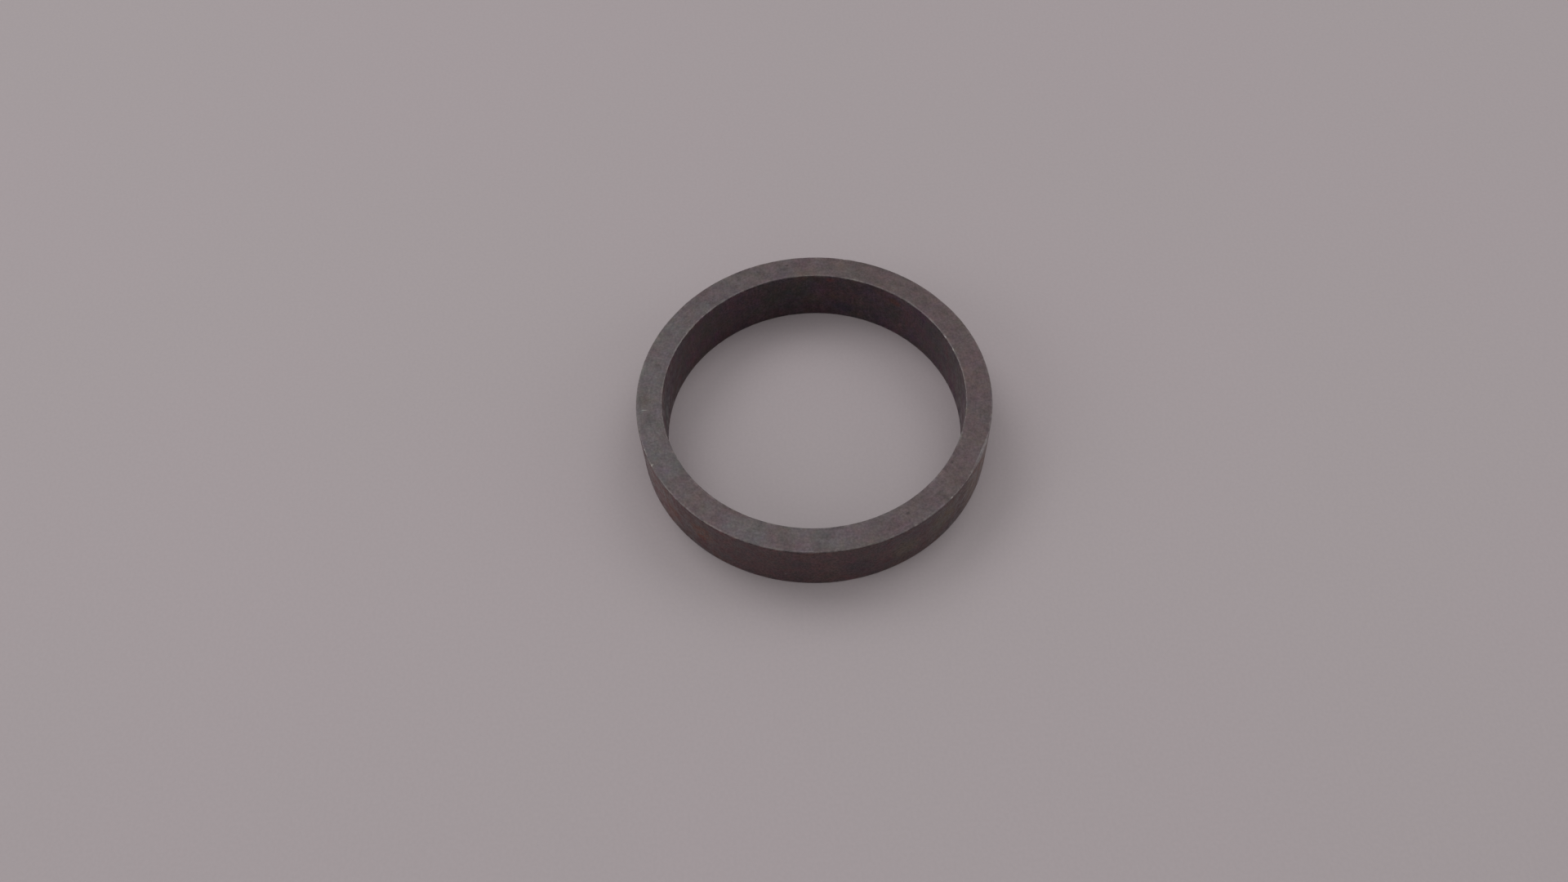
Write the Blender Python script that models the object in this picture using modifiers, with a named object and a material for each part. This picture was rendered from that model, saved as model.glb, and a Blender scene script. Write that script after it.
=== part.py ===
"""Spacer washer: a thick plain ring turned from steel, with a straight bore and flat, parallel faces.

The frame stands on the ring's bottom face. The origin is the centre of that face, and +Z runs up the
axis of the bore. Every length is in metres.
"""

import math

import bmesh
import bpy

COLLECTION_NAME = "spacer_washer"

# Driving dimensions of the ring
OUTSIDE_DIAMETER = 0.0540
BORE_DIAMETER = 0.0460
RING_WIDTH = 0.0098  # along the axis, from the bottom face to the top face
EDGE_CHAMFER = 0.0002  # a file's light break on all four edges

# Fineness of the turned surfaces
TURN_STEPS = 144
MERGE_DISTANCE = 0.000001

# Dull oxidised steel
STEEL_COLOUR = (0.125, 0.104, 0.105, 1.0)
STEEL_ROUGHNESS = 0.62
STEEL_METALLIC = 0.55


def clear_scene():
    """Remove every object that the file already holds."""
    for existing in list(bpy.data.objects):
        bpy.data.objects.remove(existing, do_unlink=True)


def make_collection(name):
    """Make the collection that holds the part, and link it to the scene."""
    collection = bpy.data.collections.new(name)
    bpy.context.scene.collection.children.link(collection)
    return collection


def make_steel():
    """Return the ring's material."""
    material = bpy.data.materials.new("oxidised_steel")
    material.use_nodes = True
    shader = material.node_tree.nodes["Principled BSDF"]
    shader.inputs["Base Color"].default_value = STEEL_COLOUR
    shader.inputs["Roughness"].default_value = STEEL_ROUGHNESS
    shader.inputs["Metallic"].default_value = STEEL_METALLIC
    material.diffuse_color = STEEL_COLOUR
    return material


def ring_section():
    """Return the (radius, height) corners of the ring's section.

    The section is a rectangle with its four corners chamfered. It starts at the top of the outer
    wall, runs down that wall, in along the bottom face, up the bore and out along the top face.
    """
    outer = OUTSIDE_DIAMETER / 2
    inner = BORE_DIAMETER / 2
    top = RING_WIDTH
    chamfer = EDGE_CHAMFER
    outer_wall = [(outer, top - chamfer), (outer, chamfer)]
    bottom_face = [(outer - chamfer, 0.0), (inner + chamfer, 0.0)]
    bore_wall = [(inner, chamfer), (inner, top - chamfer)]
    top_face = [(inner + chamfer, top), (outer - chamfer, top)]
    return outer_wall + bottom_face + bore_wall + top_face


def section_mesh(name, section):
    """Draw a closed section as a loop of edges in the XZ plane, on the +X side."""
    outline = bmesh.new()
    corners = [outline.verts.new((radius, 0.0, height)) for radius, height in section]
    for corner, next_corner in zip(corners, corners[1:] + corners[:1]):
        outline.edges.new((corner, next_corner))
    mesh = bpy.data.meshes.new(name)
    outline.to_mesh(mesh)
    outline.free()
    return mesh


def turn_about_z(piece):
    """Turn a piece's section once round the Z axis, smooth along its walls and flat on its faces."""
    turn = piece.modifiers.new("Turn", "SCREW")
    turn.axis = "Z"
    turn.angle = math.tau
    turn.steps = TURN_STEPS
    turn.render_steps = TURN_STEPS
    turn.use_merge_vertices = True
    turn.merge_threshold = MERGE_DISTANCE
    turn.use_smooth_shade = True
    shading = piece.modifiers.new("Flat faces", "WEIGHTED_NORMAL")
    shading.mode = "FACE_AREA"


def make_washer_ring(collection, steel):
    """Make the washer's only piece: the turned ring, standing on its bottom face."""
    mesh = section_mesh("washer_ring", ring_section())
    mesh.materials.append(steel)
    ring = bpy.data.objects.new("washer_ring", mesh)
    collection.objects.link(ring)
    turn_about_z(ring)
    return ring


def main():
    clear_scene()
    collection = make_collection(COLLECTION_NAME)
    make_washer_ring(collection, make_steel())


main()
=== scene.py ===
"""The looks of a spacer washer: a thick plain ring of dull oxidised steel on a pale bench top.

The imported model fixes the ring's place and size. A finer ring is turned in its place, with rounded and
bruised rims, and its cut faces, outer skin, bore skin and worn rims each get their own finish.
Lengths are in metres, unless a name says millimetres, and angles are in degrees.
"""

import logging
import math
from collections.abc import Callable
from dataclasses import dataclass
from enum import Enum

import bmesh
import bpy
from mathutils import Matrix, Vector


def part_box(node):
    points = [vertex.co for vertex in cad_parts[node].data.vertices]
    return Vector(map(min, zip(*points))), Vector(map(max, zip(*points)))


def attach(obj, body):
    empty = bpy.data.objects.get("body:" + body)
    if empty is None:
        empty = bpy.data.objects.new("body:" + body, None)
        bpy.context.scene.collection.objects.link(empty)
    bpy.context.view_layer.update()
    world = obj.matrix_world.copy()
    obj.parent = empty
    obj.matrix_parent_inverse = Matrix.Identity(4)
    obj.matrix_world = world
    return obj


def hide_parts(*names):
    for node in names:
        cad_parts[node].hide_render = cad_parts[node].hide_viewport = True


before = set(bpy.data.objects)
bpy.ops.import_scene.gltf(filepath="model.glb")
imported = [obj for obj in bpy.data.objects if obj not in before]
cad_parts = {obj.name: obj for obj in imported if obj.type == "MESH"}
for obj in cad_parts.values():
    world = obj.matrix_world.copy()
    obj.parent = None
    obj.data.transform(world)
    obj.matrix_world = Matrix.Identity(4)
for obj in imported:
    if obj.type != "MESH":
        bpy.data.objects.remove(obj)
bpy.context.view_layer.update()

logging.basicConfig(level=logging.INFO, format="%(message)s")
log = logging.getLogger("spacer_washer")

Colour = tuple[float, float, float]
Socket = bpy.types.NodeSocket

MM = 0.001
CAD_NODE = "washer_ring"
ROOT_BODY = "root"

PALE_SIDE = 205.0  # the bearing of the ring's paler side

# The patterns that all finishes of the steel share
MOTTLE_MM = 1.3
SPECKLE_MM = 0.34
TOOL_MARK_MM = 0.4
TINT_LAYERS = ((0.9, 0.8), (3.6, 1.0))  # each layer's patch size in millimetres, and its share
TINT_GAIN = 6.0  # a noise seldom strays from its middle by more than one part in this many
DRIFT_COVER = 0.8  # how much of the ground the drift covers at most
PIT_SPACING_MM = 1.5
PIT_REACH = 0.22  # the largest pit's radius, as a share of the spacing
PIT_SHADE = 0.7  # a pit's brightness, as a share of its ground's
RELIEF_SHARES = (0.8, 0.35, 0.45, -1.2)  # of the mottle, the speckle, the tool marks and the pits
MARK_CORE = 0.3  # the middle of a mark that is at full strength, as a share of its reach
RAG_SIZE_MM = 0.4  # the length of the waves in a mark's ragged outline
RAG_PUSH_MM = 0.25  # the depth of those waves

# The values of a noise, all about its middle of 0.5, where a pattern starts to show and where it is full
MOST_VALUES = (0.3, 0.7)
DRIFT_VALUES = (0.42, 0.66)
STAIN_VALUES = (0.5, 0.68)
RUB_VALUES = (0.40, 0.62)
BENCH_DRIFT_VALUES = (0.35, 0.65)

FACING = 0.95  # the least cosine between a mesh face's normal and the way that its region looks
NEAR_SKIN = 0.45  # how far off the wall's middle its skin starts, as a share of the wall or the width


class Region(Enum):
    """The parts of the ring's surface that are finished differently, in the order of their slots."""

    CUT_FACE = 0
    OUTER_SKIN = 1
    BORE_SKIN = 2
    WORN_RIM = 3


class Grain(Enum):
    """The way that fine tool marks run: how fast they change around the ring and across it."""

    FROM_RIM_TO_RIM = (24.0, 0.12)
    AROUND = (2.5, 1.0)


def start_clean() -> None:
    """Leave edit mode and deselect everything."""
    if bpy.context.object and bpy.context.object.mode != "OBJECT":
        bpy.ops.object.mode_set(mode="OBJECT")
    bpy.ops.object.select_all(action="DESELECT")


def select_edges(piece: bpy.types.Object, wanted: Callable[[bmesh.types.BMEdge], bool]) -> None:
    """Select, in edit mode, the edges that a test wants and nothing else.

    Args:
        piece: The object being edited.
        wanted: Says whether an edge is wanted.
    """
    bpy.ops.mesh.select_all(action="DESELECT")
    mesh = bmesh.from_edit_mesh(piece.data)
    for edge in mesh.edges:
        if wanted(edge):
            edge.select_set(True)
    bmesh.update_edit_mesh(piece.data)


def smoothstep(value: float) -> float:
    """Return a soft step of a value: 0 below 0, 1 above 1."""
    held = min(max(value, 0.0), 1.0)
    return held * held * (3.0 - 2.0 * held)


class NodeBench:
    """Adds and joins the shader nodes of one material."""

    def __init__(self, name: str) -> None:
        """Start a material that holds only its Principled shader and its output.

        Args:
            name: The material's name.
        """
        self.material = bpy.data.materials.new(name)
        self.material.use_nodes = True
        self.tree = self.material.node_tree
        self.shader = self.tree.nodes["Principled BSDF"]

    def feed(self, socket: Socket, value: Socket | float | tuple) -> None:
        """Link a socket to another, or set its value.

        Args:
            socket: The input to feed.
            value: An output socket, a number or a tuple of numbers.
        """
        if isinstance(value, Socket):
            self.tree.links.new(value, socket)
        elif isinstance(value, tuple) and len(value) < len(socket.default_value):
            socket.default_value = (*value, 1.0)
        else:
            socket.default_value = value

    def node(self, kind: str, *inputs: Socket | float | tuple | None, **settings: object) -> bpy.types.Node:
        """Add a node.

        Args:
            kind: The node's type.
            inputs: What feeds its inputs, in order; None leaves an input as it is.
            settings: The node's own settings.

        Returns:
            The new node.
        """
        node = self.tree.nodes.new(kind)
        for setting, value in settings.items():
            setattr(node, setting, value)
        for socket, value in zip(node.inputs, inputs):
            if value is not None:
                self.feed(socket, value)
        return node

    def place_mm(self) -> Socket:
        """Return the Object coordinates in millimetres."""
        place = self.node("ShaderNodeTexCoord").outputs["Object"]
        return self.scaled(place, 1.0 / MM)

    def number(self, operation: str, *values: Socket | float) -> Socket:
        """Return the result of a Math node."""
        return self.node("ShaderNodeMath", *values, operation=operation).outputs[0]

    def vector(self, operation: str, *values: Socket | tuple) -> Socket:
        """Return the vector result of a Vector Math node."""
        return self.node("ShaderNodeVectorMath", *values, operation=operation).outputs["Vector"]

    def length(self, vector: Socket) -> Socket:
        """Return a vector's length."""
        return self.node("ShaderNodeVectorMath", vector, operation="LENGTH").outputs["Value"]

    def scaled(self, vector: Socket, factor: float | Socket) -> Socket:
        """Multiply a vector, or a colour, by a number.

        Args:
            vector: The vector or colour.
            factor: The number.

        Returns:
            Their product.
        """
        node = self.node("ShaderNodeVectorMath", vector, operation="SCALE")
        self.feed(node.inputs["Scale"], factor)
        return node.outputs["Vector"]

    def ramp(self, value: Socket, low: float, high: float, start: float = 0.0, end: float = 1.0) -> Socket:
        """Carry a value softly from one range to another.

        Args:
            value: The value to carry.
            low: The value that gives start.
            high: The value that gives end.
            start: The result at or below low.
            end: The result at or above high.

        Returns:
            The carried value.
        """
        node = self.node("ShaderNodeMapRange", value, interpolation_type="SMOOTHSTEP")
        for name, number in (("From Min", low), ("From Max", high), ("To Min", start), ("To Max", end)):
            node.inputs[name].default_value = number
        return node.outputs["Result"]

    def noise(self, place: Socket, size_mm: float, detail: float = 2.0, roughness: float = 0.5) -> Socket:
        """Return a soft noise from 0 to 1 whose features are about size_mm across."""
        return self._noise_node(place, size_mm, detail, roughness).outputs["Fac"]

    def colour_noise(self, place: Socket, size_mm: float, detail: float = 2.0) -> Socket:
        """Return three such noises, which differ, as the channels of a colour."""
        return self._noise_node(place, size_mm, detail, 0.5).outputs["Color"]

    def _noise_node(self, place: Socket, size_mm: float, detail: float, roughness: float) -> bpy.types.Node:
        """Add a noise.

        Args:
            place: The place in millimetres.
            size_mm: The size of its features.
            detail: How many finer layers it has.
            roughness: How strong the finer layers are.

        Returns:
            Its node.
        """
        node = self.node("ShaderNodeTexNoise", noise_dimensions="3D")
        self.feed(node.inputs["Vector"], place)
        node.inputs["Scale"].default_value = 1.0 / size_mm
        node.inputs["Detail"].default_value = detail
        node.inputs["Roughness"].default_value = roughness
        return node

    def specks(self, place: Socket, spacing_mm: float, share: float, reach: float) -> Socket:
        """Scatter soft round specks.

        Args:
            place: The place in millimetres.
            spacing_mm: The mean spacing of the cells that may hold a speck.
            share: How many of the cells hold one, from 0 to 1.
            reach: The largest speck's radius, as a share of the spacing.

        Returns:
            A mask, 1 inside a speck and 0 outside.
        """
        cells = self.node("ShaderNodeTexVoronoi", feature="F1")
        self.feed(cells.inputs["Vector"], place)
        cells.inputs["Scale"].default_value = 1.0 / spacing_mm
        chance = self.node("ShaderNodeSeparateColor", cells.outputs["Color"]).outputs["Red"]
        radius = self.ramp(chance, 1.0 - share, 1.0, 0.0, reach)
        inside = self.number("SUBTRACT", radius, cells.outputs["Distance"])
        return self.ramp(inside, 0.0, reach / 2)

    def mix(self, factor: Socket | float, first: Socket | Colour, second: Socket | Colour) -> Socket:
        """Mix two colours.

        Args:
            factor: How much of the second colour there is, from 0 to 1.
            first: The first colour.
            second: The second colour.

        Returns:
            The mixed colour.
        """
        node = self.node("ShaderNodeMix", factor, data_type="RGBA")
        for socket in node.inputs:
            if socket.type == "RGBA":
                self.feed(socket, first if socket.name == "A" else second)
        return next(socket for socket in node.outputs if socket.type == "RGBA")

    def tinted(self, colour: Socket, place: Socket, size_mm: float, depth: float) -> Socket:
        """Let the three channels of a colour wander on their own.

        Args:
            colour: The colour.
            place: The place in millimetres.
            size_mm: The size of the patches.
            depth: How far a channel mostly wanders, as a share.

        Returns:
            The tinted colour.
        """
        wander = self.colour_noise(place, size_mm, detail=3.0)
        gain = TINT_GAIN * depth
        shift = self.vector("MULTIPLY_ADD", wander, (gain,) * 3, (1.0 - gain / 2,) * 3)
        return self.vector("MULTIPLY", colour, shift)

    def relief(self, height: Socket, depth_mm: float) -> None:
        """Raise the shader's surface by a height map.

        Args:
            height: The height, about 0 to 1.
            depth_mm: How deep one whole step of height is.
        """
        node = self.node("ShaderNodeBump")
        node.inputs["Strength"].default_value = 1.0
        node.inputs["Distance"].default_value = depth_mm * MM
        self.feed(node.inputs["Height"], height)
        self.feed(self.shader.inputs["Normal"], node.outputs["Normal"])


@dataclass(frozen=True)
class RingSizes:
    """The ring's sizes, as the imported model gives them.

    Attributes:
        outer: The outer wall's radius.
        bore: The bore's radius.
        bottom: The bottom face's height.
        top: The top face's height.
    """

    outer: float
    bore: float
    bottom: float
    top: float

    @classmethod
    def of_node(cls, node: str) -> "RingSizes":
        """Measure a ring that stands on the XY plane round the Z axis.

        Args:
            node: The name of the ring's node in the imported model.

        Returns:
            Its sizes.
        """
        low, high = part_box(node)
        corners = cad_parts[node].data.vertices
        bore = min(corner.co.to_2d().length for corner in corners)
        return cls(outer=(high.x - low.x) / 2, bore=bore, bottom=low.z, top=high.z)

    @property
    def wall(self) -> float:
        """The wall's thickness."""
        return self.outer - self.bore

    @property
    def width(self) -> float:
        """The ring's width along its axis."""
        return self.top - self.bottom

    def place(self, angle: float, across: float, drop: float) -> Vector:
        """Find a place on or in the ring.

        Args:
            angle: Its angle round the axis, from +X towards +Y.
            across: Its share of the way across the wall, from 0 at the bore to 1 outside.
            drop: How far below the top face it is.

        Returns:
            The place.
        """
        arm = Vector((self.bore + across * self.wall, 0.0, self.top - drop))
        return Matrix.Rotation(math.radians(angle), 3, "Z") @ arm


@dataclass(frozen=True)
class Mark:
    """One mark at a place of the ring: a scratch, a stain, a rubbed spot, or a patch of painted highlight
    or painted shade.

    Attributes:
        angle: Its angle round the axis, from +X towards +Y.
        across: Its share of the way across the wall, from 0 at the bore to 1 outside.
        drop_mm: How far below the top face it is.
        size_mm: Its whole size outwards, around and upwards.
        colour: Its colour.
        strength: How much of the ground it covers at its middle.
    """

    angle: float
    across: float
    drop_mm: float
    size_mm: tuple[float, float, float]
    colour: Colour
    strength: float

    def mask(self, bench: NodeBench, place: Socket, sizes: RingSizes) -> Socket:
        """Make the mark's mask.

        Args:
            bench: The bench of the material that it marks.
            place: The material's place in millimetres.
            sizes: The ring's sizes.

        Returns:
            The mask, from 0 at the mark's edge to its strength in its middle.
        """
        middle = sizes.place(self.angle, self.across, self.drop_mm * MM)
        node = bench.node("ShaderNodeMapping", vector_type="TEXTURE")
        bench.feed(node.inputs["Vector"], place)
        node.inputs["Location"].default_value = middle / MM
        node.inputs["Rotation"].default_value = (0.0, 0.0, math.radians(self.angle))
        node.inputs["Scale"].default_value = tuple(size / 2 for size in self.size_mm)
        return bench.ramp(bench.length(node.outputs["Vector"]), 1.0, MARK_CORE, 0.0, self.strength)


@dataclass(frozen=True)
class SteelFinish:
    """One finish of the ring's steel.

    Attributes:
        name: The material's name.
        ground: The colour of most of the surface, on the ring's paler side.
        far_ground: The colour of most of the surface, on the other side.
        drift: The colour that it drifts to in broad patches.
        drift_mm: The size of those patches.
        stain: The colour of the oxide stains.
        stain_mm: The size of the stains.
        stain_cover: How strongly the stains show, from 0 to 1.
        tint: How far the hue wanders, as a share.
        mottle: How far the brightness wanders at a millimetre or so, as a share.
        speckle: How far it wanders at a fifth of a millimetre.
        grain: The way that the tool marks run.
        grain_depth: How far the tool marks change the brightness, as a share.
        pit_share: How many pits there are, from 0 to 1.
        rub: The colour that the surface is rubbed to beside its rims.
        rub_mm: How far from a rim the rubbing reaches.
        metallic: The shader's metallic value.
        roughness: The least and the greatest roughness.
        relief_mm: The depth of the fine relief.
        marks: The marks at known places.
    """

    name: str
    ground: Colour
    far_ground: Colour
    drift: Colour
    drift_mm: float
    stain: Colour
    stain_mm: float
    stain_cover: float
    tint: float
    mottle: float
    speckle: float
    grain: Grain
    grain_depth: float
    pit_share: float
    rub: Colour
    rub_mm: float
    metallic: float
    roughness: tuple[float, float]
    relief_mm: float
    marks: tuple[Mark, ...] = ()

    def material(self, sizes: RingSizes) -> bpy.types.Material:
        """Build the finish as a node material on Object coordinates.

        Args:
            sizes: The ring's sizes.

        Returns:
            The material.
        """
        bench = NodeBench(self.name)
        place = bench.place_mm()
        mottle = bench.noise(place, MOTTLE_MM, detail=4.0, roughness=0.6)
        speckle = bench.noise(place, SPECKLE_MM, detail=3.0, roughness=0.65)
        lines = self._tool_marks(bench, place)
        pits = bench.specks(place, PIT_SPACING_MM, self.pit_share, PIT_REACH)

        colour = bench.mix(self._far_side(bench, place, sizes), self.ground, self.far_ground)
        patches = bench.noise(place, self.drift_mm, detail=3.0)
        colour = bench.mix(bench.ramp(patches, *DRIFT_VALUES, 0.0, DRIFT_COVER), colour, self.drift)
        stains = bench.noise(place, self.stain_mm, detail=5.0, roughness=0.62)
        colour = bench.mix(bench.ramp(stains, *STAIN_VALUES, 0.0, self.stain_cover), colour, self.stain)
        colour = bench.mix(self._rubbing(bench, place, mottle, sizes), colour, self.rub)
        ragged = self._ragged_place(bench, place)
        for mark in self.marks:
            colour = bench.mix(mark.mask(bench, ragged, sizes), colour, mark.colour)
        for size_mm, share in TINT_LAYERS:
            colour = bench.tinted(colour, place, size_mm, self.tint * share)
        shades = ((mottle, self.mottle), (speckle, self.speckle), (lines, self.grain_depth))
        for pattern, depth in shades:
            colour = bench.scaled(colour, bench.ramp(pattern, *MOST_VALUES, 1.0 - depth, 1.0 + depth))
        colour = bench.scaled(colour, bench.ramp(pits, 0.0, 1.0, 1.0, PIT_SHADE))

        bench.feed(bench.shader.inputs["Base Color"], colour)
        bench.shader.inputs["Metallic"].default_value = self.metallic
        bench.feed(bench.shader.inputs["Roughness"], bench.ramp(mottle, *MOST_VALUES, *self.roughness))
        bench.relief(self._height(bench, (mottle, speckle, lines, pits)), self.relief_mm)
        bench.material.diffuse_color = (*self.ground, 1.0)
        return bench.material

    def _far_side(self, bench: NodeBench, place: Socket, sizes: RingSizes) -> Socket:
        """Find how far over a place is from the ring's paler side towards the other.

        Args:
            bench: The material's bench.
            place: The place in millimetres.
            sizes: The ring's sizes.

        Returns:
            The share of the way, from 0 to 1.
        """
        pale = Matrix.Rotation(math.radians(PALE_SIDE), 3, "Z") @ Vector((1.0, 0.0, 0.0))
        across = bench.node("ShaderNodeVectorMath", place, tuple(pale), operation="DOT_PRODUCT")
        reach = sizes.outer / MM
        return bench.ramp(across.outputs["Value"], reach, -reach)

    def _tool_marks(self, bench: NodeBench, place: Socket) -> Socket:
        """Draw out a noise along the way that the tool marks run.

        Args:
            bench: The material's bench.
            place: The place in millimetres.

        Returns:
            The noise of the tool marks, from 0 to 1.
        """
        turn, climb = self.grain.value
        bearing = bench.scaled(bench.vector("NORMALIZE", self._flat(bench, place)), turn)
        height = bench.node("ShaderNodeSeparateXYZ", place).outputs["Z"]
        off_axis = bench.length(self._flat(bench, place))
        along = bench.number("MULTIPLY", bench.number("ADD", off_axis, height), climb)
        upwards = bench.node("ShaderNodeCombineXYZ", 0.0, 0.0, along).outputs["Vector"]
        drawn = bench.vector("ADD", bearing, upwards)
        return bench.noise(drawn, TOOL_MARK_MM, detail=4.0, roughness=0.7)

    def _rubbing(self, bench: NodeBench, place: Socket, wander: Socket, sizes: RingSizes) -> Socket:
        """Find how far the surface is rubbed: most beside its rims, and unevenly.

        Args:
            bench: The material's bench.
            place: The place in millimetres.
            wander: The noise that makes it uneven.
            sizes: The ring's sizes.

        Returns:
            How far it is rubbed, from 0 to 1.
        """
        height = bench.node("ShaderNodeSeparateXYZ", place).outputs["Z"]
        off_axis = bench.length(self._flat(bench, place))
        sides = (
            (height, sizes.bottom, sizes.top),
            (off_axis, sizes.bore, sizes.outer),
        )
        nearness = []
        for reach, low, high in sides:
            middle = (low + high) / 2 / MM
            half = (high - low) / 2 / MM
            off_middle = bench.number("ABSOLUTE", bench.number("SUBTRACT", reach, middle))
            nearness.append(bench.ramp(off_middle, half - self.rub_mm, half))
        near_rim = bench.number("MINIMUM", *nearness)
        return bench.number("MULTIPLY", near_rim, bench.ramp(wander, *RUB_VALUES))

    def _flat(self, bench: NodeBench, place: Socket) -> Socket:
        """Return a place's offset from the axis."""
        return bench.vector("MULTIPLY", place, (1.0, 1.0, 0.0))

    def _ragged_place(self, bench: NodeBench, place: Socket) -> Socket:
        """Push a place about a little, so that a mark's outline is ragged.

        Args:
            bench: The material's bench.
            place: The place in millimetres.

        Returns:
            The pushed place.
        """
        wander = bench.colour_noise(place, RAG_SIZE_MM)
        push = bench.scaled(bench.vector("SUBTRACT", wander, (0.5, 0.5, 0.5)), RAG_PUSH_MM)
        return bench.vector("ADD", place, push)

    def _height(self, bench: NodeBench, patterns: tuple[Socket, ...]) -> Socket:
        """Add up the height of the fine relief.

        Args:
            bench: The material's bench.
            patterns: The mottle, the speckle, the tool marks and the pits.

        Returns:
            The height, from 0 to about 1, and less in the pits.
        """
        height: Socket | float = 0.0
        for pattern, share in zip(patterns, RELIEF_SHARES):
            height = bench.number("MULTIPLY_ADD", pattern, share, height)
        return height


@dataclass(frozen=True)
class Bruise:
    """A small flat that a knock or a file left on an outer rim.

    Attributes:
        angle: Its angle round the axis.
        depth_mm: How deep it cuts below the rim's sharp corner.
        slope: The angle of its normal above the horizontal; below it on a bottom rim.
    """

    angle: float
    depth_mm: float
    slope: float


@dataclass(frozen=True)
class Dent:
    """A small round dent.

    Attributes:
        angle: Its angle round the axis.
        across: Its share of the way across the wall, from 0 at the bore to 1 outside.
        drop_mm: How far below the top face it is.
        size_mm: Its width.
        depth_mm: Its depth.
    """

    angle: float
    across: float
    drop_mm: float
    size_mm: float
    depth_mm: float


FACE_DARK = (0.070, 0.054, 0.057)
BRIGHT_STEEL = (0.42, 0.39, 0.38)
PALE_STEEL = (0.26, 0.235, 0.235)
RUST = (0.135, 0.048, 0.030)
# Painted sheen on rust: a paler rust for the brighter left side of the outer wall
RUST_AND_PAINTED_SHEEN = (0.157, 0.081, 0.078)
OLIVE = (0.112, 0.086, 0.064)
# Painted sheen on olive: a paler olive for the brighter right side of the outer wall
OLIVE_AND_PAINTED_SHEEN = (0.160, 0.102, 0.082)
PLUM = (0.050, 0.030, 0.040)
BLUE_OXIDE = (0.040, 0.034, 0.056)
GREY_OXIDE = (0.054, 0.050, 0.047)
# Painted shade: a darker rim colour that hides the rim's highlight where it shows none
PAINTED_SHADE_RIM = (0.120, 0.092, 0.096)
# Painted highlight: a pale rim colour for the rim's bright reflection at the right
PAINTED_HIGHLIGHT_RIM = (0.29, 0.25, 0.25)
# Bare steel in small nicks, made as bright as a glint: part real wear, part painted highlight
NICK_AND_PAINTED_GLINT = (0.62, 0.57, 0.56)

CUT_FACE = SteelFinish(
    name="cut_face_steel",
    ground=(0.172, 0.149, 0.154),
    far_ground=(0.153, 0.112, 0.114),
    drift=(0.168, 0.120, 0.124),
    drift_mm=6.0,
    stain=(0.112, 0.083, 0.087),
    stain_mm=2.0,
    stain_cover=0.5,
    tint=0.045,
    mottle=0.16,
    speckle=0.18,
    grain=Grain.AROUND,
    grain_depth=0.08,
    pit_share=0.12,
    rub=(0.24, 0.205, 0.20),
    rub_mm=0.40,
    metallic=0.35,
    roughness=(0.50, 0.64),
    relief_mm=0.012,
    marks=(
        Mark(96.3, 0.65, 0.0, (0.6, 0.8, 1.0), FACE_DARK, 0.7),
        Mark(105.4, 0.475, 0.0, (0.5, 0.6, 1.0), FACE_DARK, 0.5),
        Mark(70.6, 0.5, 0.0, (0.5, 0.5, 1.0), FACE_DARK, 0.5),
        Mark(299.6, 0.425, 0.0, (0.6, 0.8, 1.0), FACE_DARK, 0.7),
        Mark(294.3, 0.35, 0.0, (0.6, 0.9, 1.0), FACE_DARK, 0.4),
        Mark(325.6, 0.15, 0.0, (0.6, 1.0, 1.0), FACE_DARK, 0.6),
        Mark(182.8, 0.675, 0.0, (1.6, 0.22, 1.0), BRIGHT_STEEL, 0.6),
        Mark(160.5, 0.5, 0.0, (3.4, 0.20, 1.0), PALE_STEEL, 0.5),
        Mark(169.0, 0.45, 0.0, (2.8, 0.18, 1.0), PALE_STEEL, 0.4),
        Mark(174.5, 0.6, 0.0, (2.4, 0.20, 1.0), PALE_STEEL, 0.4),
        Mark(188.5, 0.45, 0.0, (3.0, 0.18, 1.0), PALE_STEEL, 0.35),
        Mark(196.0, 0.55, 0.0, (2.6, 0.20, 1.0), FACE_DARK, 0.35),
    ),
)

OUTER_SKIN = SteelFinish(
    name="outer_skin_oxide",
    ground=(0.091, 0.045, 0.047),
    far_ground=(0.098, 0.061, 0.058),
    drift=(0.073, 0.041, 0.047),
    drift_mm=5.0,
    stain=(0.085, 0.043, 0.042),
    stain_mm=2.6,
    stain_cover=0.5,
    tint=0.065,
    mottle=0.36,
    speckle=0.46,
    grain=Grain.AROUND,
    grain_depth=0.10,
    pit_share=0.15,
    rub=(0.15, 0.118, 0.112),
    rub_mm=0.4,
    metallic=0.25,
    roughness=(0.22, 0.60),
    relief_mm=0.050,
    marks=(
        # Painted sheen: these two broad pale patches light up the left and right of the outer wall, over
        # the skin's own rust and olive hue
        Mark(209.0, 1.0, 4.9, (2.0, 16.0, 18.0), RUST_AND_PAINTED_SHEEN, 0.7),
        Mark(333.0, 1.0, 4.9, (2.0, 18.0, 18.0), OLIVE_AND_PAINTED_SHEEN, 0.7),
        Mark(229.6, 1.0, 4.4, (2.0, 6.0, 5.6), RUST, 0.8),
        Mark(216.0, 1.0, 5.2, (2.0, 5.0, 5.0), RUST, 0.65),
        Mark(297.0, 1.0, 5.4, (2.0, 7.0, 6.0), OLIVE, 0.7),
        Mark(311.0, 1.0, 4.2, (2.0, 9.0, 8.0), OLIVE, 0.6),
        Mark(281.0, 1.0, 5.8, (2.0, 6.0, 6.0), PLUM, 0.5),
        Mark(262.0, 1.0, 3.8, (2.0, 6.0, 4.0), PLUM, 0.35),
        Mark(258.0, 1.0, 7.2, (1.0, 0.4, 0.3), BRIGHT_STEEL, 0.5),
    ),
)

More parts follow.
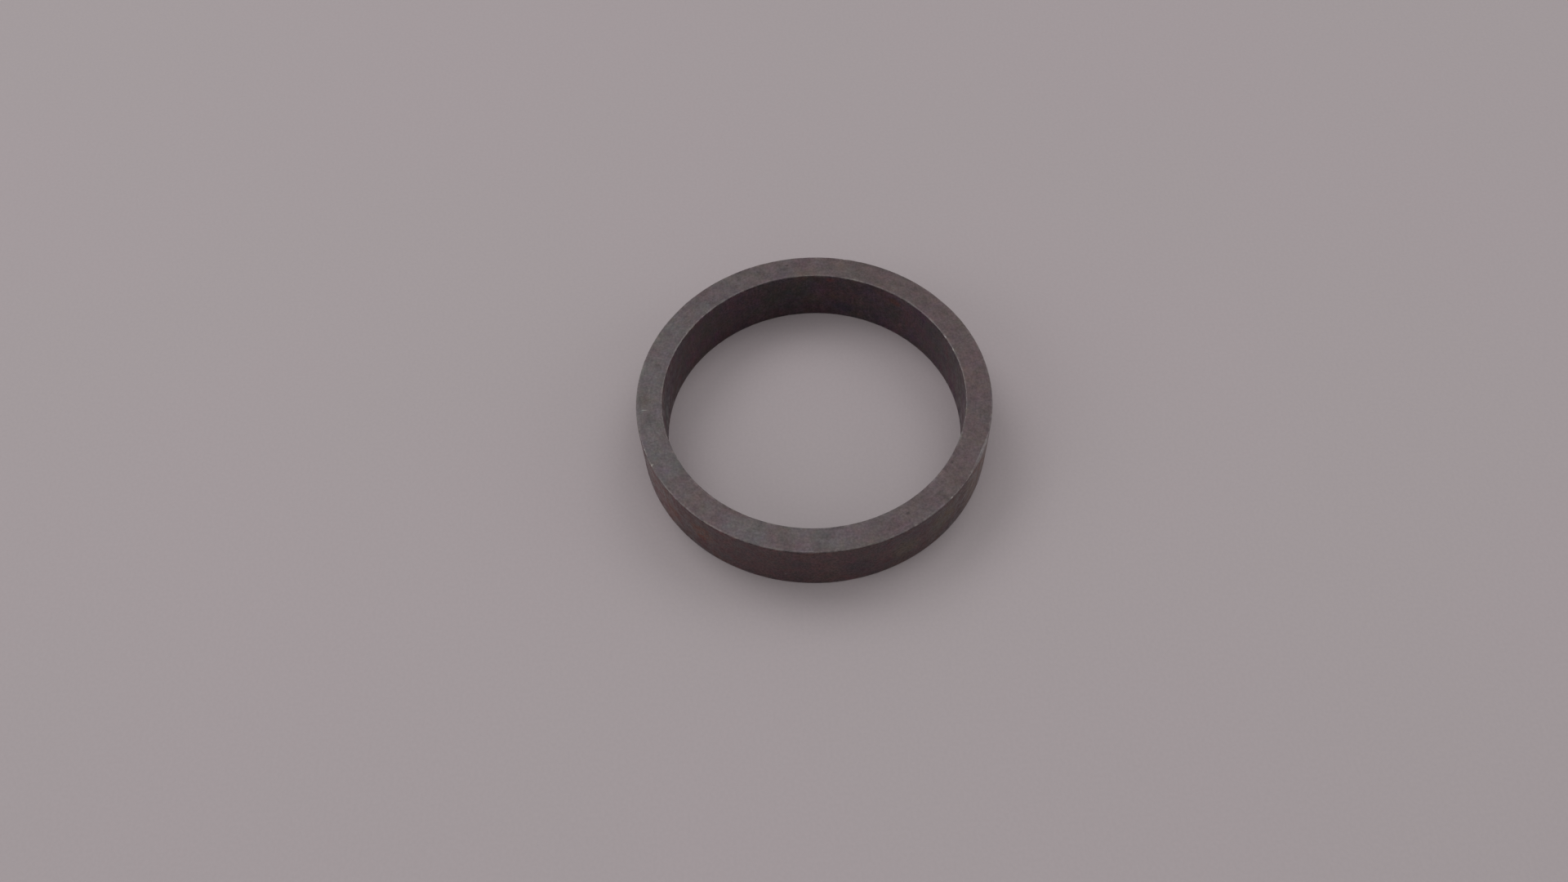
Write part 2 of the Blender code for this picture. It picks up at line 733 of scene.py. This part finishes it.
BORE_SKIN = SteelFinish(
    name="bore_skin_oxide",
    ground=(0.092, 0.050, 0.057),
    far_ground=(0.094, 0.054, 0.067),
    drift=(0.070, 0.054, 0.056),
    drift_mm=6.0,
    stain=(0.075, 0.046, 0.060),
    stain_mm=2.6,
    stain_cover=0.5,
    tint=0.11,
    mottle=0.34,
    speckle=0.32,
    grain=Grain.FROM_RIM_TO_RIM,
    grain_depth=0.14,
    pit_share=0.15,
    rub=(0.13, 0.102, 0.100),
    rub_mm=0.4,
    metallic=0.40,
    roughness=(0.30, 0.66),
    relief_mm=0.035,
    marks=(
        Mark(52.2, 0.0, 1.9, (2.0, 3.2, 2.2), RUST, 0.7),
        Mark(80.0, 0.0, 0.8, (2.0, 2.0, 1.4), RUST, 0.45),
        Mark(74.0, 0.0, 7.2, (2.0, 6.0, 3.6), BLUE_OXIDE, 0.6),
        Mark(98.0, 0.0, 5.4, (2.0, 16.0, 10.0), GREY_OXIDE, 0.7),
    ),
)

WORN_RIM = SteelFinish(
    name="worn_rim_steel",
    ground=(0.25, 0.222, 0.222),
    far_ground=(0.24, 0.205, 0.207),
    drift=(0.21, 0.178, 0.180),
    drift_mm=4.0,
    stain=(0.16, 0.130, 0.130),
    stain_mm=1.6,
    stain_cover=0.5,
    tint=0.03,
    mottle=0.12,
    speckle=0.15,
    grain=Grain.AROUND,
    grain_depth=0.10,
    pit_share=0.10,
    rub=(0.30, 0.27, 0.26),
    rub_mm=0.2,
    metallic=0.6,
    roughness=(0.36, 0.50),
    relief_mm=0.006,
    marks=(
        # The next four marks are painted shade: they darken the rims where they catch no highlight
        Mark(90.0, 0.0, 0.0, (3.0, 40.0, 2.0), PAINTED_SHADE_RIM, 0.85),
        Mark(46.0, 0.0, 0.0, (2.0, 14.0, 2.0), PAINTED_SHADE_RIM, 0.5),
        Mark(309.0, 1.0, 0.2, (2.0, 8.0, 2.0), PAINTED_SHADE_RIM, 0.4),
        Mark(268.0, 1.0, 0.0, (2.0, 16.0, 2.0), PAINTED_SHADE_RIM, 0.6),
        # Painted highlight along the outer rim at the right
        Mark(335.0, 1.0, 0.2, (2.0, 11.0, 2.0), PAINTED_HIGHLIGHT_RIM, 0.45),
        # Bright flecks: bare steel at the nicks, painted as glints; the inner ones at 10 to 24 degrees
        # paint the dashed highlight along that rim
        Mark(204.2, 1.0, 0.1, (1.0, 0.6, 0.8), NICK_AND_PAINTED_GLINT, 0.55),
        Mark(314.4, 1.0, 0.1, (1.0, 0.6, 0.8), NICK_AND_PAINTED_GLINT, 0.7),
        Mark(198.0, 1.0, 0.1, (1.0, 0.5, 0.8), NICK_AND_PAINTED_GLINT, 0.45),
        Mark(24.0, 0.0, 0.1, (1.0, 0.7, 0.8), NICK_AND_PAINTED_GLINT, 0.6),
        Mark(17.0, 0.0, 0.1, (1.2, 1.0, 1.0), NICK_AND_PAINTED_GLINT, 0.6),
        Mark(10.0, 0.0, 0.1, (1.2, 0.6, 1.0), NICK_AND_PAINTED_GLINT, 0.7),
    ),
)

FINISHES = {
    Region.CUT_FACE: CUT_FACE,
    Region.OUTER_SKIN: OUTER_SKIN,
    Region.BORE_SKIN: BORE_SKIN,
    Region.WORN_RIM: WORN_RIM,
}

BRUISES = (
    Bruise(angle=333.0, depth_mm=0.26, slope=50.0),
    Bruise(angle=206.0, depth_mm=0.15, slope=45.0),
    Bruise(angle=287.0, depth_mm=0.12, slope=42.0),
    Bruise(angle=141.0, depth_mm=0.14, slope=48.0),
    Bruise(angle=38.0, depth_mm=0.13, slope=45.0),
    Bruise(angle=98.0, depth_mm=0.16, slope=-45.0),
    Bruise(angle=262.0, depth_mm=0.15, slope=-48.0),
)

DENTS = (
    Dent(204.2, 0.9875, 0.05, 0.7, 0.12),
    Dent(314.4, 0.9875, 0.05, 0.6, 0.10),
    Dent(336.0, 0.975, 0.05, 0.7, 0.12),
    Dent(246.0, 0.9875, 0.05, 0.5, 0.08),
    Dent(272.5, 0.9875, 0.05, 0.6, 0.07),
    Dent(160.0, 0.0125, 0.05, 0.6, 0.08),
    Dent(24.0, 0.0125, 0.05, 0.6, 0.08),
    Dent(76.0, 0.9875, 0.05, 0.6, 0.08),
    Dent(120.0, 0.9875, 9.75, 0.8, 0.10),
    Dent(258.0, 1.0, 7.2, 0.5, 0.05),
    Dent(96.3, 0.65, 0.0, 0.6, 0.04),
    Dent(299.6, 0.425, 0.0, 0.6, 0.04),
    Dent(105.4, 0.475, 0.0, 0.5, 0.03),
    Dent(18.0, 1.0, 3.6, 0.7, 0.05),
    Dent(65.0, 1.0, 6.4, 0.6, 0.05),
    Dent(170.0, 1.0, 4.7, 0.7, 0.05),
)


@dataclass
class TurnedRing:
    """The washer's only piece: a plain ring with rounded, slightly battered rims.

    Attributes:
        sizes: The ring's sizes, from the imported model.
        rim_radius: The radius of the rounding on its four rims.
        rim_segments: How many steps each rounding has.
        face_cuts: How many cuts divide the section along a face.
        wall_cuts: How many cuts divide it along a wall.
        sectors: How many equal sectors the ring is turned and copied in.
        sector_steps: How many steps the section is turned in within a sector.
        chatter: How deep the rims' uneven wear reaches.
        chatter_size: The size of that wear's waves.
        rim_reach: How far from a rim the wear reaches.
        smooth_angle: The greatest angle between two faces that are shaded as one.
        merge_distance: How near two corners are when they are one.
    """

    sizes: RingSizes
    rim_radius: float = 0.15 * MM
    rim_segments: int = 3
    face_cuts: int = 16
    wall_cuts: int = 24
    sectors: int = 36
    sector_steps: int = 25
    chatter: float = 0.05 * MM
    chatter_size: float = 0.7 * MM
    rim_reach: float = 0.40 * MM
    smooth_angle: float = 38.0
    merge_distance: float = 0.001 * MM

    def build(self) -> bpy.types.Object:
        """Model the ring, dress it and hand it to the frame.

        Returns:
            The finished piece.
        """
        ring = self._draw_section()
        self._divide_section(ring)
        self._turn()
        self._bruise()
        self._dent(ring)
        self._wear_rims(ring)
        self._shade(ring)
        self.dress(ring)
        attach(ring, ROOT_BODY)
        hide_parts(CAD_NODE)
        return ring

    def dress(self, ring: bpy.types.Object) -> None:
        """Give each face of the ring its region's finish.

        Args:
            ring: The modelled ring.
        """
        for region in Region:
            ring.data.materials.append(FINISHES[region].material(self.sizes))
        for face in ring.data.polygons:
            face.material_index = self._region_of(face).value

    def _draw_section(self) -> bpy.types.Object:
        """Draw the wall's section, with its corners rounded, as a closed wire on the +X side.

        Returns:
            The ring to be, in edit mode.
        """
        start_clean()
        bpy.ops.mesh.primitive_plane_add(size=1.0)
        ring = bpy.context.object
        ring.name = "turned_ring"
        ring.data.name = "turned_ring"
        sizes = self.sizes
        middle = (sizes.bore + sizes.wall / 2, 0.0, sizes.bottom + sizes.width / 2)
        bpy.ops.object.mode_set(mode="EDIT")
        bpy.ops.mesh.select_all(action="SELECT")
        bpy.ops.transform.rotate(value=math.pi / 2, orient_axis="X", center_override=(0.0, 0.0, 0.0))
        bpy.ops.transform.resize(value=(sizes.wall, 1.0, sizes.width), center_override=(0.0, 0.0, 0.0))
        bpy.ops.transform.translate(value=middle)
        bpy.ops.mesh.bevel(offset=self.rim_radius, segments=self.rim_segments, affect="VERTICES")
        bpy.ops.mesh.delete(type="ONLY_FACE")
        return ring

    def _divide_section(self, ring: bpy.types.Object) -> None:
        """Divide the section's straight sides, so that the turned faces and walls can be shaped.

        Args:
            ring: The ring's section.
        """
        outwards, upwards = Vector((1.0, 0.0, 0.0)), Vector((0.0, 0.0, 1.0))
        for way, cuts in ((outwards, self.face_cuts), (upwards, self.wall_cuts)):
            select_edges(ring, lambda edge, way=way: self._is_side(edge, way))
            bpy.ops.mesh.subdivide(number_cuts=cuts)

    def _is_side(self, edge: bmesh.types.BMEdge, way: Vector) -> bool:
        """Return whether an edge is one of the section's undivided sides and runs the given way."""
        run = edge.verts[1].co - edge.verts[0].co
        return abs(run.dot(way)) > self.sizes.wall / 2

    def _turn(self) -> None:
        """Turn the section through one sector, copy that round the Z axis and close the ring."""
        sector = math.tau / self.sectors
        turns = (
            {"steps": self.sector_steps, "angle": sector, "dupli": False},
            {"steps": self.sectors - 1, "angle": math.tau - sector, "dupli": True},
        )
        axis = {"center": (0.0, 0.0, 0.0), "axis": (0.0, 0.0, 1.0)}
        for turn in turns:
            bpy.ops.mesh.select_all(action="SELECT")
            bpy.ops.mesh.spin(**turn, **axis, use_auto_merge=False)
        bpy.ops.mesh.select_all(action="SELECT")
        bpy.ops.mesh.remove_doubles(threshold=self.merge_distance)
        bpy.ops.mesh.normals_make_consistent(inside=False)

    def _bruise(self) -> None:
        """Cut each bruise's small flat across an outer rim."""
        for bruise in BRUISES:
            slope = math.radians(bruise.slope)
            turn = Matrix.Rotation(math.radians(bruise.angle), 3, "Z")
            outwards = turn @ Vector((math.cos(slope), 0.0, math.sin(slope)))
            drop = 0.0 if bruise.slope > 0.0 else self.sizes.width
            corner = self.sizes.place(bruise.angle, 1.0, drop)
            bpy.ops.mesh.select_all(action="SELECT")
            bpy.ops.mesh.bisect(
                plane_co=corner - outwards * bruise.depth_mm * MM,
                plane_no=outwards,
                use_fill=True,
                clear_outer=True,
                threshold=self.merge_distance,
            )
        bpy.ops.object.mode_set(mode="OBJECT")

    def _dent(self, ring: bpy.types.Object) -> None:
        """Press each dent into the surface, towards the middle of the wall.

        Args:
            ring: The turned ring.
        """
        core_radius = (self.sizes.bore + self.sizes.outer) / 2
        for dent in DENTS:
            middle = self.sizes.place(dent.angle, dent.across, dent.drop_mm * MM)
            push = self._inwards(middle, core_radius) * dent.depth_mm * MM
            reach = dent.size_mm * MM / 2
            for corner in ring.data.vertices:
                nearness = 1.0 - (corner.co - middle).length / reach
                if nearness > 0.0:
                    corner.co += push * smoothstep(nearness)

    def _inwards(self, place: Vector, core_radius: float) -> Vector:
        """Find the way from a place on the skin into the wall.

        Args:
            place: The place.
            core_radius: The distance of the wall's middle from the axis.

        Returns:
            The direction, one long.
        """
        outwards = place.to_2d().normalized()
        off_core = place.to_2d().length - core_radius
        off_middle = place.z - (self.sizes.bottom + self.sizes.top) / 2
        into = Vector((0.0, 0.0, 0.0))
        if abs(off_core) > NEAR_SKIN * self.sizes.wall:
            into -= outwards.to_3d() * math.copysign(1.0, off_core)
        if abs(off_middle) > NEAR_SKIN * self.sizes.width:
            into.z -= math.copysign(1.0, off_middle)
        return into.normalized()

    def _wear_rims(self, ring: bpy.types.Object) -> None:
        """Wear the four rims unevenly, always inwards, with a noise that fades away from them.

        Args:
            ring: The turned ring.
        """
        rims = ring.vertex_groups.new(name="rims")
        for corner in ring.data.vertices:
            off_rim = self._off_rim(corner.co)
            if off_rim < self.rim_reach:
                rims.add([corner.index], smoothstep(1.0 - off_rim / self.rim_reach), "REPLACE")
        chatter = bpy.data.textures.new("rim_chatter", "CLOUDS")
        chatter.noise_scale = self.chatter_size
        chatter.noise_depth = 2
        wear = ring.modifiers.new("Rim wear", "DISPLACE")
        wear.texture = chatter
        wear.texture_coords = "LOCAL"
        wear.vertex_group = rims.name
        wear.mid_level = 0.0
        wear.strength = -self.chatter
        bpy.ops.object.modifier_apply(modifier=wear.name)
        ring.vertex_groups.remove(ring.vertex_groups["rims"])

    def _off_rim(self, place: Vector) -> float:
        """Measure how far a place is from the nearest of the four rims.

        Args:
            place: The place.

        Returns:
            The distance.
        """
        arm = place.to_2d().length
        off_wall = min(abs(arm - self.sizes.outer), abs(arm - self.sizes.bore))
        off_face = min(abs(place.z - self.sizes.top), abs(place.z - self.sizes.bottom))
        return math.hypot(off_wall, off_face)

    def _shade(self, ring: bpy.types.Object) -> None:
        """Shade the ring smooth, and sharp only across real corners.

        Args:
            ring: The modelled ring.
        """
        start_clean()
        ring.select_set(True)
        bpy.context.view_layer.objects.active = ring
        bpy.ops.object.shade_smooth_by_angle(angle=math.radians(self.smooth_angle))

    def _region_of(self, face: bpy.types.MeshPolygon) -> Region:
        """Tell which region a face of the ring belongs to, by the way that it faces.

        Args:
            face: The face.

        Returns:
            Its region.
        """
        outwards = face.center.to_2d().normalized().to_3d()
        if abs(face.normal.z) > FACING:
            return Region.CUT_FACE
        if face.normal.dot(outwards) > FACING:
            return Region.OUTER_SKIN
        if face.normal.dot(outwards) < -FACING:
            return Region.BORE_SKIN
        return Region.WORN_RIM


@dataclass
class BenchTop:
    """The pale bench top that the washer lies on, which is not part of the object.

    Attributes:
        reach: Its radius.
        steps: How many straight steps its round edge has.
        colour: Its colour.
        shade: The colour that it drifts to.
        drift_mm: The size of the broad patches of that.
        grain_mm: The size of its fine grain.
        grain_depth: How far the grain changes its brightness, as a share.
        roughness: Its roughness.
    """

    reach: float = 2.0
    steps: int = 128
    colour: Colour = (0.614, 0.541, 0.559)
    shade: Colour = (0.609, 0.542, 0.556)
    drift_mm: float = 60.0
    grain_mm: float = 0.5
    grain_depth: float = 0.015
    roughness: float = 0.6

    def build(self, height: float) -> bpy.types.Object:
        """Lay the bench top at a height, dressed.

        Args:
            height: The height of its surface.

        Returns:
            The bench top.
        """
        start_clean()
        bpy.ops.mesh.primitive_circle_add(
            vertices=self.steps,
            radius=self.reach,
            fill_type="NGON",
            location=(0.0, 0.0, height),
        )
        top = bpy.context.object
        top.name = "bench_top"
        bpy.ops.object.transform_apply(location=True)
        self.dress(top)
        return top

    def dress(self, top: bpy.types.Object) -> None:
        """Paint the bench top a plain, very slightly uneven, pale tone.

        Args:
            top: The bench top.
        """
        bench = NodeBench("pale_laminate")
        place = bench.place_mm()
        drift = bench.ramp(bench.noise(place, self.drift_mm), *BENCH_DRIFT_VALUES)
        colour = bench.mix(drift, self.colour, self.shade)
        grain = bench.noise(place, self.grain_mm, detail=3.0)
        light = bench.ramp(grain, *MOST_VALUES, 1.0 - self.grain_depth, 1.0 + self.grain_depth)
        colour = bench.scaled(colour, light)
        bench.feed(bench.shader.inputs["Base Color"], colour)
        bench.shader.inputs["Roughness"].default_value = self.roughness
        top.data.materials.append(bench.material)


@dataclass(frozen=True)
class SoftBox:
    """A wide soft lamp that faces the ring.

    Attributes:
        name: The lamp's name.
        bearing: Its direction from the ring, from +X towards +Y.
        rise: Its angle above the bench top.
        distance: How far it is from the ring.
        size: Its width.
        power: Its power in watts.
    """

    name: str
    bearing: float
    rise: float
    distance: float
    size: float
    power: float

    def build(self) -> bpy.types.Object:
        """Hang the lamp.

        Returns:
            The lamp.
        """
        lamp = bpy.data.lights.new(self.name, "AREA")
        lamp.shape = "DISK"
        lamp.size = self.size
        lamp.energy = self.power
        hung = bpy.data.objects.new(self.name, lamp)
        rise = math.radians(self.rise)
        raised = Vector((math.cos(rise), 0.0, math.sin(rise)))
        towards = Matrix.Rotation(math.radians(self.bearing), 3, "Z") @ raised
        hung.location = towards * self.distance
        hung.rotation_mode = "QUATERNION"
        hung.rotation_quaternion = towards.to_track_quat("Z", "Y")
        bpy.context.scene.collection.objects.link(hung)
        return hung


@dataclass(frozen=True)
class Studio:
    """Plain, soft studio light: an even pale room and a few soft lamps.

    Attributes:
        room: The room's colour.
        room_strength: How strongly the room glows.
        lamps: The soft lamps.
    """

    room: Colour = (1.0, 0.985, 0.99)
    room_strength: float = 0.258
    lamps: tuple[SoftBox, ...] = (
        SoftBox("top_lamp", bearing=90.0, rise=90.0, distance=1.2, size=0.9, power=1.22),
        SoftBox("back_left_lamp", bearing=135.0, rise=50.0, distance=1.2, size=0.7, power=1.97),
        SoftBox("back_right_lamp", bearing=45.0, rise=50.0, distance=1.2, size=0.7, power=1.34),
        SoftBox("left_lamp", bearing=192.0, rise=28.0, distance=1.2, size=0.7, power=1.40),
        SoftBox("right_lamp", bearing=0.0, rise=20.0, distance=1.2, size=0.7, power=0.90),
    )

    def build(self) -> None:
        """Light the scene, and show its colours without a film curve."""
        world = bpy.data.worlds.new("pale_room")
        world.use_nodes = True
        glow = world.node_tree.nodes["Background"]
        glow.inputs["Color"].default_value = (*self.room, 1.0)
        glow.inputs["Strength"].default_value = self.room_strength
        bpy.context.scene.world = world
        bpy.context.scene.view_settings.view_transform = "Standard"
        for lamp in self.lamps:
            lamp.build()


@dataclass(frozen=True)
class HandHeldCamera:
    """A camera held by hand over the bench, looking down and away at the ring.

    Attributes:
        sensor_mm: Its sensor's width.
        lens_mm: Its focal length.
        nearest: How near it sees.
        place: Its place, in outer radii of the ring from the middle of the bottom face.
        look_down: How far it looks down from the horizontal.
        roll: How far it is turned about its own line of sight.
    """

    sensor_mm: float = 36.0
    lens_mm: float = 29.46
    nearest: float = 5.0 * MM
    place: tuple[float, float, float] = (-0.1800, -4.0619, 6.3238)
    look_down: float = 57.75
    roll: float = -3.18

    def build(self, sizes: RingSizes) -> bpy.types.Object:
        """Place the camera and make it the scene's own.

        Args:
            sizes: The ring's sizes.

        Returns:
            The camera.
        """
        data = bpy.data.cameras.new("hand_held_camera")
        data.sensor_width = self.sensor_mm
        data.lens = self.lens_mm
        data.clip_start = self.nearest
        data.dof.use_dof = False
        camera = bpy.data.objects.new("hand_held_camera", data)
        tilt = Matrix.Rotation(math.radians(90.0 - self.look_down), 4, "X")
        roll = Matrix.Rotation(math.radians(self.roll), 4, "Z")
        stand = Matrix.Translation(Vector(self.place) * sizes.outer + Vector((0.0, 0.0, sizes.bottom)))
        camera.matrix_world = stand @ tilt @ roll
        bpy.context.scene.collection.objects.link(camera)
        bpy.context.scene.camera = camera
        return camera


def report(piece: bpy.types.Object) -> None:
    """Log a finished piece's name and size.

    Args:
        piece: The piece.
    """
    width, depth, height = (side / MM for side in piece.dimensions)
    faces = len(piece.data.polygons)
    log.info("%s: %.2f x %.2f x %.2f mm, %d faces", piece.name, width, depth, height, faces)


def main() -> None:
    """Build the camera, the washer and its setting, in that order."""
    sizes = RingSizes.of_node(CAD_NODE)
    HandHeldCamera().build(sizes)
    report(TurnedRing(sizes).build())
    report(BenchTop().build(sizes.bottom))
    Studio().build()


if __name__ == "__main__":
    main()
